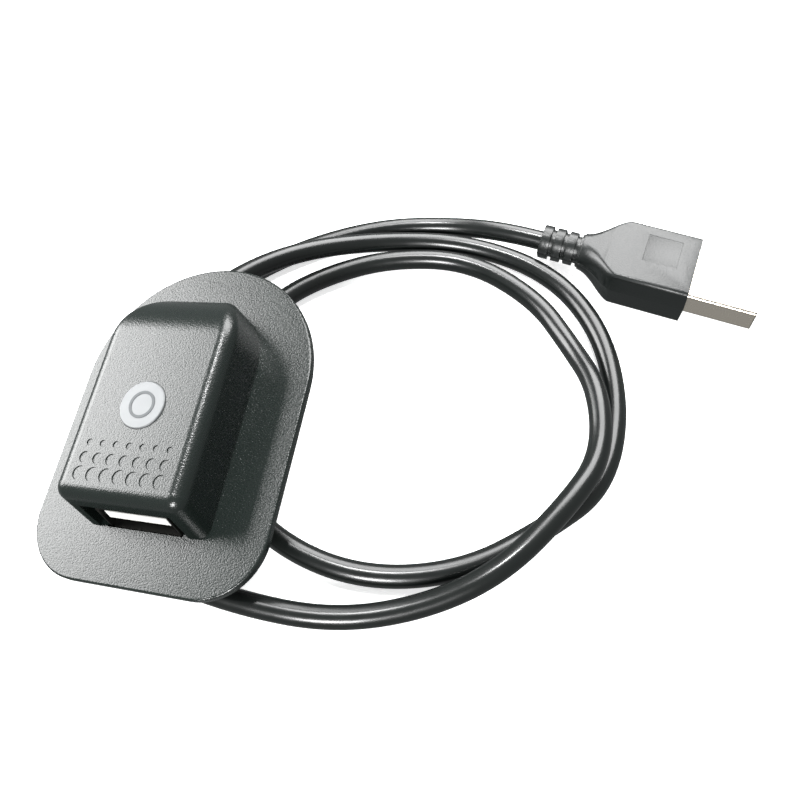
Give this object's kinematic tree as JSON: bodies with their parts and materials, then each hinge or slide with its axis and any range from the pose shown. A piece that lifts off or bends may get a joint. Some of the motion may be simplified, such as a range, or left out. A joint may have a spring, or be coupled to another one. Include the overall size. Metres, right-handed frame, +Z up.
{
  "type": "external usb charging port with looped cord and usb-a plug",
  "caption": "Sew-on arched flange with a hooded USB-A charging socket, round badge, thin looped cord and USB-A plug.",
  "frame": {"origin": "centre of the port's own box on the surface it lies on, cord and plug left out", "axes": "+Z up from the table, +Y towards the port's arched end and +X towards the side where the cord loops; the port itself leans on its cord, rolled 10.2 degrees about X and -13.4 degrees about its long axis"},
  "size_m": [0.1135, 0.0855, 0.0228],
  "materials": {
    "flange_black": "satin fine grain",
    "hood_black": "fine spark-eroded grain",
    "badge_silver": "satin brushed",
    "mark_grey": "printed",
    "shell_nickel": "satin nickel plate",
    "tongue_white": "smooth",
    "contact_gold": "gold plated",
    "solder_tin": "bright",
    "screw_steel": "zinc plated",
    "cord_black": "soft gloss PVC",
    "grip_black": "satin PVC",
    "mould_natural": "natural polyethylene",
    "wire_red": "smooth",
    "wire_white": "smooth",
    "wire_green": "smooth",
    "wire_black": "smooth"
  },
  "bodies": {
    "root": {"mounting_flange": "flange_black", "hood_shell": "hood_black", "badge_disc": "badge_silver", "badge_mark": "mark_grey", "back_cover": "hood_black", "cover_screws": "screw_steel", "socket_shell": "shell_nickel", "socket_insulator": "tongue_white", "socket_contacts": "contact_gold", "socket_solder": "solder_tin", "cord_grommet": "grip_black", "plug_overmould": "grip_black", "plug_inner_mould": "mould_natural", "plug_shell": "shell_nickel", "plug_rear_can": "shell_nickel", "plug_insulator": "tongue_white", "plug_contacts": "contact_gold", "plug_solder": "solder_tin", "cord_tail_port": "cord_black", "cord_tail_plug": "cord_black", "cord_run": "cord_black", "wire_red": "wire_red", "plug_wire_red": "wire_red", "wire_white": "wire_white", "plug_wire_white": "wire_white", "wire_green": "wire_green", "plug_wire_green": "wire_green", "wire_black": "wire_black", "plug_wire_black": "wire_black"}
  },
  "joints": []
}
